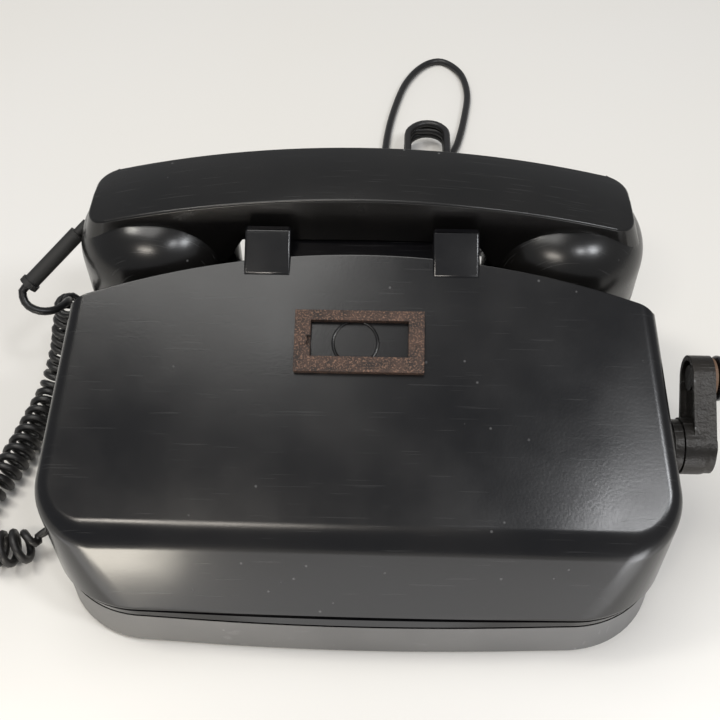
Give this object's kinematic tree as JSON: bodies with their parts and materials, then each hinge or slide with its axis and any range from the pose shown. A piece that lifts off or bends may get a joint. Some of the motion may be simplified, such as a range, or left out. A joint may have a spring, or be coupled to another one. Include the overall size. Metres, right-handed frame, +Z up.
{
  "type": "magneto desk telephone",
  "caption": "Black moulded desk telephone without a dial: sloping body, handset on a two-prong cradle, ringing crank at the side, curly handset cord and line cord.",
  "frame": {"origin": "on the standing surface, under the middle of the object without its cords (crank included)", "axes": "+X along the handset towards the crank side, +Y to the back, +Z up"},
  "size_m": [0.3502, 0.4307, 0.1313],
  "materials": {
    "bakelite": "polished black phenolic moulding with fine scratches",
    "bakelite_inner": "black phenolic insulating parts",
    "rubber_black": "matt black rubber",
    "cord_black": "smooth black rubber cord sheath",
    "frame_steel": "bronze-brown finished steel, rusted",
    "black_metal": "blackened metal casting, pitted",
    "steel": "plain turned steel",
    "zinc_plate": "zinc-plated pressed steel",
    "magnet": "dark hardened magnet steel",
    "brass": "dull brass",
    "copper_wire": "varnished wire winding",
    "ivory": "ivory moulded plastic",
    "fibre_washer": "brown fibre washer",
    "alloy_can": "drawn alloy can",
    "tie_tape": "dark cloth tie"
  },
  "bodies": {
    "base": {"base_pan": "bakelite", "feet": "rubber_black", "housing": "bakelite", "housing_screws": "zinc_plate", "card_frame": "frame_steel", "frame_rivets": "frame_steel", "crank_bushing": "black_metal", "bushing_nut": "zinc_plate", "magneto_frame": "zinc_plate", "magneto_screws": "zinc_plate", "magnets": "magnet", "pole_shoes": "steel", "ringer_frame": "zinc_plate", "ringer_coils": "copper_wire", "ringer_pin": "steel", "gongs": "brass", "gong_posts": "steel", "gong_screws": "zinc_plate", "induction_coil": "bakelite_inner", "induction_winding": "copper_wire", "capacitor": "alloy_can", "terminal_block": "bakelite_inner", "terminal_screws": "brass", "hook_bracket": "zinc_plate", "hook_screws": "zinc_plate", "hook_pin": "steel", "contact_block": "bakelite_inner", "contact_springs": "brass", "cord_grommet": "rubber_black", "line_grommet": "rubber_black", "curly_cord": "cord_black", "line_cord": "cord_black", "line_hank": "cord_black", "hank_tie": "tie_tape", "line_tail": "cord_black", "line_ferrule": "rubber_black", "line_lugs": "brass"},
    "crank": {"crank_shaft": "steel", "drive_gear": "brass", "crank_arm": "black_metal", "crank_screw": "black_metal", "knob_spindle": "steel", "knob_washer": "fibre_washer"},
    "knob": {"crank_knob": "bakelite"},
    "armature": {"rotor": "steel", "rotor_winding": "copper_wire", "rotor_shaft": "steel", "pinion": "brass"},
    "clapper_arm": {"clapper": "steel"},
    "hook_yoke": {"hook_plungers": "ivory"},
    "switch_lever": {"hook_lever": "brass"},
    "handset": {"handset_body": "bakelite", "mouth_cap": "bakelite", "ear_cap": "bakelite", "transmitter": "alloy_can", "receiver": "alloy_can", "cord_boot": "rubber_black"}
  },
  "joints": [
    {"name": "crank_turn", "type": "hinge", "parent": "base", "child": "crank", "pos_m": [0.09052, -0.0296, 0.056], "axis": [1, 0, 0], "continuous": true},
    {"name": "knob_spin", "type": "hinge", "parent": "crank", "child": "knob", "pos_m": [0.11482, -0.00832, 0.07262], "axis": [1, 0, 0], "continuous": true},
    {"name": "armature_spin", "type": "hinge", "parent": "base", "child": "armature", "pos_m": [0.02942, -0.0286, 0.02952], "axis": [1, 0, 0], "continuous": true},
    {"name": "clapper_swing", "type": "hinge", "parent": "base", "child": "clapper_arm", "pos_m": [-0.08262, -0.0208, 0.03], "axis": [0, 0, 1], "range_deg": [-3, 3]},
    {"name": "handset_lift", "type": "slide", "parent": "base", "child": "handset", "axis": [0, 0, 1], "range_m": [0, 0.12]},
    {"name": "hook_rise", "type": "slide", "parent": "base", "child": "hook_yoke", "axis": [0, 0, 1], "range_m": [0, 0.0045]},
    {"name": "switch_rock", "type": "hinge", "parent": "base", "child": "switch_lever", "pos_m": [-0.02552, 0.0615, 0.0799], "axis": [-1, 0, 0], "range_deg": [0, 13]}
  ],
  "couplings": [
    {"joint": "armature_spin", "follows": "crank_turn", "ratio": -3.4167},
    {"joint": "hook_rise", "follows": "handset_lift", "ratio": 0.0375},
    {"joint": "switch_rock", "follows": "handset_lift", "rad_per_m": 1.87}
  ]
}
